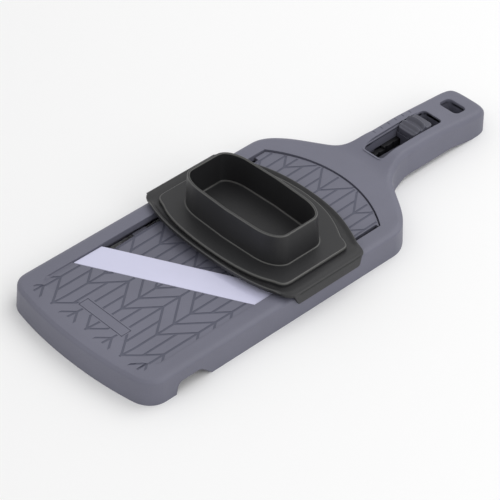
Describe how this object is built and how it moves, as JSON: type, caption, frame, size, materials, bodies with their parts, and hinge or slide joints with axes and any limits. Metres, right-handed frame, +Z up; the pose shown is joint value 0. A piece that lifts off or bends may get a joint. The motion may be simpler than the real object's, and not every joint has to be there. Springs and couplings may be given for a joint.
{
  "type": "mandoline slicer",
  "caption": "Hand-held slicing board with a slanted ceramic blade, a tilting thickness plate set by a slider in the handle, and a sliding hand guard.",
  "frame": {"origin": "centre of the plan outline, on the surface that the slicer lies on", "axes": "+Y from the front end towards the handle, +Z up, +X to the right across the rails"},
  "size_m": [0.122, 0.314, 0.041],
  "materials": {
    "slate_shell": "fine satin texture, slate grey with a violet cast",
    "slate_plate": "satin with moulded herringbone grooves",
    "slate_slider": "satin",
    "white_ceramic": "ground and polished white ceramic",
    "charcoal_guard": "fine matte texture, near black",
    "black_inner": "plain moulded, black",
    "rubber_foot": "soft matte",
    "bright_steel": "bright zinc or stainless"
  },
  "bodies": {
    "frame": {"blade_clamp": "black_inner", "blade_screw_1": "bright_steel", "blade_screw_2": "bright_steel", "blade_screw_3": "bright_steel", "carriage_keeper": "black_inner", "ceramic_blade": "white_ceramic", "cover_screw_left_1": "bright_steel", "cover_screw_left_2": "bright_steel", "cover_screw_right_1": "bright_steel", "cover_screw_right_2": "bright_steel", "detent_rack": "black_inner", "front_foot_left": "rubber_foot", "front_foot_right": "rubber_foot", "handle_cover": "slate_shell", "handle_foot": "rubber_foot", "keeper_screw_left": "bright_steel", "keeper_screw_right": "bright_steel", "main_frame": "slate_shell"},
    "plate": {"thickness_plate": "slate_plate", "plate_hinge_pin_left": "bright_steel", "plate_hinge_pin_right": "bright_steel"},
    "adjuster": {"adjuster_carriage": "slate_slider", "thumb_button": "slate_slider", "thumb_button_screw": "bright_steel", "detent_spring": "bright_steel", "detent_spring_screw": "bright_steel"},
    "guard": {"guard_shell": "charcoal_guard", "pin_plate": "charcoal_guard", "pin_plate_screw_left": "bright_steel", "pin_plate_screw_right": "bright_steel"}
  },
  "joints": [
    {"name": "adjuster_slide", "type": "slide", "parent": "frame", "child": "adjuster", "axis": [0, 1, 0], "range_m": [-0.024, 0.006]},
    {"name": "plate_tilt", "type": "hinge", "parent": "frame", "child": "plate", "pos_m": [0, 0.032, 0.0085], "axis": [1, 0, 0], "range_deg": [-1.5, 0.38]},
    {"name": "guard_slide", "type": "slide", "parent": "frame", "child": "guard", "axis": [0, 1, 0], "range_m": [-0.09, 0.024]}
  ],
  "couplings": [
    {"joint": "plate_tilt", "follows": "adjuster_slide", "rad_per_m": 1.0875}
  ]
}
